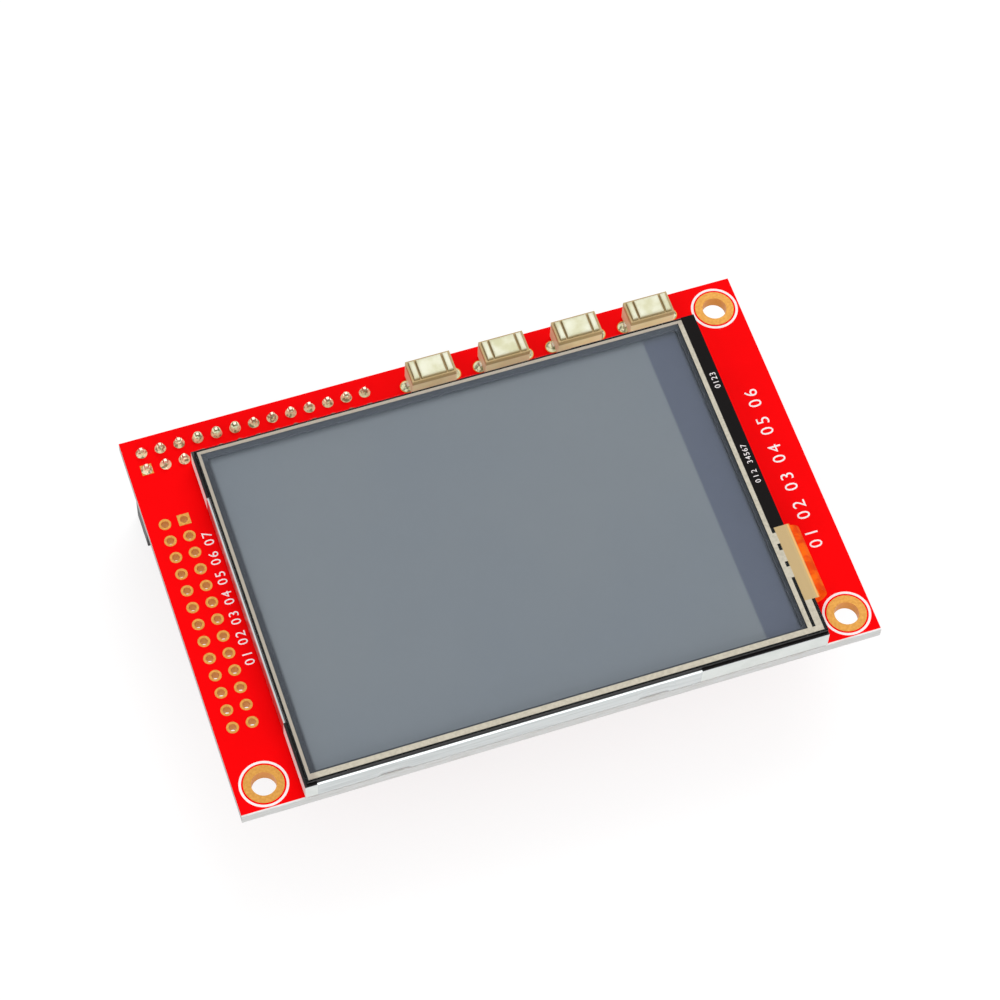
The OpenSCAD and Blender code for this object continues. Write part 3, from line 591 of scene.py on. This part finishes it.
def makePolarizer():
    # the dark panel under the touch glass, with a darker strip along its right side that is a
    # painted reflection, and a dark rim of painted shade over the panel's black border, lighter at
    # the rear
    g = Graph("polarizer")
    x, y = g.xyz()[:2]
    stripX = panelHigh.x - panel["stripFrom"]
    # painted reflection: darker strip along the right side
    strip = x.fade(stripX - panel["stripSoft"], stripX + panel["stripSoft"])
    cloud = g.noise(panel["cloudScale"], 3)
    grey = g.blend(cloud.fade(0.3, 0.7), panel["grey"], panel["greyWarm"])
    sides = (x - panelLow.x).least(panelHigh.x - x)
    # painted shade over the panel's black border, lighter at the rear
    rim = 1 - sides.fade(0.25 * panel["rimWidth"], panel["rimWidth"])
    rearRim = (1 - (panelHigh.y - y).fade(0, panel["rearRimWidth"])) * 0.8
    lit = g.blend(rearRim, g.blend(strip, grey, panel["strip"]), panel["rearRim"])
    return g.paint(
        color=g.blend(rim, lit, panel["rim"]),
        rough=panel["rough"],
        specular=panel["specular"],
        normal=g.bump(g.noise(panel["grainScale"], 1), panel["grain"]),
    )


glass = {
    "body": tint(120, 130, 132), "cellEdge": tint(120, 150, 140), "touchEdgeReflection": tint(12, 12, 12),
    "cellAlpha": 0.3, "touchAlpha": 0.03, "edgeAlpha": 0.96, "specular": 0.12, "rough": 0.04,
    "chipScale": 2200, "chip": 0.01 * mm,
}


def upperHalf(g, node):
    # 1 on the upper half of a flat node, 0 on its lower half
    z = g.xyz()[2]
    lower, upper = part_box(node)
    return z.fade(lower.z * 0.6 + upper.z * 0.4, lower.z * 0.4 + upper.z * 0.6)


def makeGlass(name, alpha, edge, node):
    # clear sheet with opaque cut edges, near black on the touch glass as a painted reflection of
    # the black tape; only its upper face carries the tint
    g = Graph(name)
    side = 1 - g.facing().size().fade(0.4, 0.6)
    top = upperHalf(g, node) * (1 - side)
    chips = g.noise(glass["chipScale"], 3)
    return g.paint(
        color=g.blend(side, glass["body"], edge),
        alpha=side * glass["edgeAlpha"] + top * alpha,
        rough=chips * side * 0.3 + glass["rough"],
        specular=glass["specular"],
        normal=g.bump(chips * side, glass["chip"]),
    )


film = {
    "haze": tint(150, 158, 164), "alpha": 0.035, "rough": 0.25, "specular": 0.12,
    "grainScale": 5000, "grain": 0.0005 * mm,
}


def makeTouchFilm():
    g = Graph("touch_film")
    grain = g.noise(film["grainScale"])
    return g.paint(
        color=film["haze"],
        alpha=upperHalf(g, "touch_film") * (grain * 0.01 + film["alpha"]),
        rough=grain * 0.08 + film["rough"],
        specular=film["specular"],
        normal=g.bump(grain, film["grain"]),
    )


border = {
    "tone": tint(206, 198, 178), "toneDeep": tint(190, 182, 162), "narrowTone": tint(172, 160, 144),
    "narrowFrom": 1.2 * mm, "narrowTo": 2.0 * mm,
    "rough": 0.5, "speckScale": 2600, "speck": 0.006 * mm,
}


def makeBorder():
    # a little duller where it is narrow, along the left and the rear
    g = Graph("border_gasket")
    x, y = g.xyz()[:2]
    speck = g.noise(border["speckScale"], 3)
    inward = (x - displayLow.x).least(displayHigh.y - y)
    narrow = 1 - inward.fade(border["narrowFrom"], border["narrowTo"])
    tone = g.blend(speck.fade(*mottle), border["tone"], border["toneDeep"])
    return g.paint(
        color=g.blend(narrow * 0.8, tone, border["narrowTone"]),
        rough=border["rough"],
        normal=g.bump(speck, border["speck"]),
    )


shade = {
    "tone": tint(78, 82, 90), "rearTone": tint(106, 113, 123),
    "from": -0.5 * mm, "to": -0.45 * mm, "right": 0.3 * mm,
    "rearFrom": -2.2 * mm, "rearTo": -1.7 * mm,
}
lensLow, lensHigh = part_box("filter_glass")


def underFilm(g):
    # 1 where a face lies inside the pale border, 0 outside it, and the painted tone it takes
    # there: shade softened by a painted reflection, lighter towards the rear
    x, y = g.xyz()[:2]
    across = (x - lensLow.x).least(lensHigh.x - x - shade["right"])
    inward = across.least(y - lensLow.y).least(lensHigh.y - y)
    rear = (y - displayHigh.y).fade(shade["rearFrom"], shade["rearTo"])
    tone = g.blend(rear, shade["tone"], shade["rearTone"])
    return inward.fade(shade["from"], shade["to"]), tone


tape = {
    "tone": tint(8, 6, 6), "toneLight": tint(18, 14, 14),
    "rough": 0.45, "specular": 0.05, "weaveScale": 5000, "weave": 0.003 * mm,
}


def makeBlackTape():
    g = Graph("black_tape")
    weave = g.noise(tape["weaveScale"])
    inside, dim = underFilm(g)
    return g.paint(
        color=g.blend(inside, g.blend(weave, tape["tone"], tape["toneLight"]), dim),
        rough=tape["rough"],
        specular=tape["specular"],
        normal=g.bump(weave, tape["weave"]),
    )


bezel = {
    "sheet": tint(216, 221, 221), "worn": tint(196, 201, 201), "darkReflection": tint(22, 18, 20),
    "rough": 0.22, "rollScale": 900, "rollStretch": (0.15, 0.15, 4), "waveScale": 160,
    "wave": 0.03 * mm,
}


def makeBezel():
    # painted reflection: the flat face is painted dark and not metal, beside the bright bend
    g = Graph("bezel_steel")
    flat = g.facing().fade(0.86, 0.97)
    along = g.noise(bezel["rollScale"], 3, 0.6, bezel["rollStretch"])
    wave = g.noise(bezel["waveScale"])
    sheet = g.blend(along.fade(*mottle), bezel["sheet"], bezel["worn"])
    inside, dim = underFilm(g)
    return g.paint(
        color=g.blend(inside, g.blend(flat, sheet, bezel["darkReflection"]), dim),
        metal=1 - flat.most(inside),
        rough=along * 0.18 + flat * 0.2 + bezel["rough"],
        normal=g.bump(wave * 0.3 + along * 0.05, bezel["wave"]),
    )


cellGlass = makeGlass("cell_glass", glass["cellAlpha"], glass["cellEdge"], "filter_glass")
touchGlass = makeGlass("touch_glass", glass["touchAlpha"], glass["touchEdgeReflection"], "touch_glass")
touchGap = 0.012 * mm
dress(makePolarizer(), "front_polarizer", "rear_polarizer")
dress(cellGlass, "tft_glass", "filter_glass")
dress(touchGlass, "touch_glass")
dress(makeTouchFilm(), "touch_film")
slim("touch_film", touchGap)
slim("touch_glass", touchGap)
dress(makeBorder(), "touch_border")
dress(makeBlackTape(), "touch_tape", "touch_edge_tape", "rim_tape")
dress(makeBezel(), "steel_bezel")
print("display dressed")


sheets = {
    # tone, roughness, share of the ridges, metal, and the nodes it dresses
    "reflector": (tint(226, 228, 230), 0.15, 0.0, 0.6, ["reflector_film"]),
    "clear_acrylic": (tint(232, 238, 240), 0.1, 0.0, 0.0, ["light_guide"]),
    "white_film": (tint(238, 238, 238), 0.5, 0.0, 0.0, ["diffuser_film"]),
    "prism_film": (
        tint(222, 224, 228), 0.25, 1.0, 0.0, ["lower_prism_film", "upper_prism_film"],
    ),
}
sheetRelief = {"ridgeRate": 20000, "grainScale": 3000, "depth": 0.005 * mm}


def makeSheet(name, tone, rough, ridges, metal):
    g = Graph(name)
    x = g.xyz()[0]
    ridge = (x * sheetRelief["ridgeRate"]).math("SINE") * ridges
    grain = g.noise(sheetRelief["grainScale"])
    return g.paint(
        color=tone,
        metal=metal,
        rough=grain * 0.1 + rough,
        normal=g.bump(ridge + grain, sheetRelief["depth"]),
    )


for name, (*look, targets) in sheets.items():
    dress(makeSheet(name, *look), *targets)
print("films dressed")


flex = {
    "amber": tint(255, 108, 6), "amberDeep": tint(232, 66, 2), "tan": tint(204, 176, 126),
    # the fold tone is a painted highlight; the inner and lit tones are painted glows in the loop
    "foldHighlight": tint(255, 190, 110), "inner": tint(150, 60, 10), "lit": tint(70, 26, 4),
    "foldX": displayHigh.x + 0.4 * mm, "loopFrom": -0.02 * mm, "loopTo": 0.1 * mm,
    "foldShift": 0.1 * mm, "foldFrom": 0.05 * mm, "foldTo": 0.2 * mm,
    "creaseScale": 420, "creaseStretch": (0.4, 1, 1), "crease": 0.18 * mm,
    "rough": 0.45, "specular": 0.08,
}


def makeFlex():
    # polyimide, tan where adhesive and copper lie on the glass
    g = Graph("flex_film")
    x = g.xyz()[0]
    past = x - flex["foldX"]
    loop = past.fade(flex["loopFrom"], flex["loopTo"])
    # painted highlight along the fold
    foldHighlight = 1 - (past + flex["foldShift"]).size().fade(flex["foldFrom"], flex["foldTo"])
    inside = loop * (1 - g.facing(0).fade(-0.3, 0.1))
    crease = g.noise(flex["creaseScale"], 4, 0.6, flex["creaseStretch"])
    amber = g.blend(crease.fade(0.42, 0.6), flex["amber"], flex["amberDeep"])
    return g.paint(
        color=g.blend(foldHighlight * 0.8, g.blend(loop, flex["tan"], amber), flex["foldHighlight"]),
        rough=crease * 0.2 + flex["rough"],
        specular=flex["specular"],
        # painted light: the loop glows, more on its inside faces
        glow=g.blend(inside, g.blend(loop, black, flex["lit"]), flex["inner"]),
        normal=g.bump(crease * loop, flex["crease"]),
    )


dress(makeFlex(), "touch_tail", "display_flex", "led_strip")
print("tails dressed")


studio = {
    "cameraSpot": (-80.605 * mm, -179.863 * mm, 397.815 * mm),
    "cameraAim": (1.977 * mm, 29.340 * mm, 1.6 * mm),
    "cameraRoll": 0.05674, "lens": 126.387, "sensor": 36, "clip": (0.01, 20),
    "floorReach": 3, "floorTint": (0.3, 0.3, 0.3, 1), "floorLift": (0.77, 0.77, 0.77, 1),
    "floorRough": 0.9, "worldColor": (1, 1, 1, 1), "worldLevel": 0.62,
    "lampAim": (0, 0.02, 0),
    "lamps": [
        # spot, size, watts
        ((0.25, 0.45, 0.75), 0.55, 2.4),
        ((-0.55, -0.25, 0.6), 0.5, 1.0),
        ((0.05, -0.75, 0.3), 0.5, 2.0),
    ],
}


def addFloor():
    reach = studio["floorReach"]
    z = cadBounds[0][2]
    bm = bmesh.new()
    corners = [(-reach, -reach, z), (reach, -reach, z), (reach, reach, z), (-reach, reach, z)]
    bm.faces.new([bm.verts.new(corner) for corner in corners])
    mesh = meshFrom("floor", bm)
    floor = bpy.data.objects.new("floor", mesh)
    bpy.context.scene.collection.objects.link(floor)
    g = Graph("floor_paper")
    lift = g.blend(g.seenDirectly(), black, studio["floorLift"])
    rough = studio["floorRough"]
    mesh.materials.append(g.paint(color=studio["floorTint"], rough=rough, specular=0.0, glow=lift))


def addWorld():
    g = Graph("studio", "worlds", "Background")
    level = g.seenDirectly() * (1 - studio["worldLevel"]) + studio["worldLevel"]
    g.feed(g.shader.inputs["Color"], studio["worldColor"])
    g.feed(g.shader.inputs["Strength"], level)
    bpy.context.scene.world = g.owner


def addLamps():
    aim = Vector(studio["lampAim"])
    for spot, size, watts in studio["lamps"]:
        light = bpy.data.lights.new("softbox", "AREA")
        light.shape = "SQUARE"
        light.size = size
        light.energy = watts
        lamp = bpy.data.objects.new("softbox", light)
        bpy.context.scene.collection.objects.link(lamp)
        lamp.location = spot
        lamp.rotation_euler = (aim - Vector(spot)).to_track_quat("-Z", "Y").to_euler()


def addCamera():
    camera = bpy.data.objects.new("camera", bpy.data.cameras.new("camera"))
    bpy.context.scene.collection.objects.link(camera)
    spot = Vector(studio["cameraSpot"])
    toward = (Vector(studio["cameraAim"]) - spot).normalized()
    roll = Matrix.Rotation(studio["cameraRoll"], 3, "Z")
    turn = toward.to_track_quat("-Z", "Y").to_matrix() @ roll
    camera.matrix_world = Matrix.Translation(spot) @ turn.to_4x4()
    camera.data.lens = studio["lens"]
    camera.data.sensor_width = studio["sensor"]
    camera.data.clip_start, camera.data.clip_end = studio["clip"]
    bpy.context.scene.camera = camera


addFloor()
addWorld()
addLamps()
addCamera()
bpy.context.scene.view_settings.view_transform = "Standard"
print("studio set")
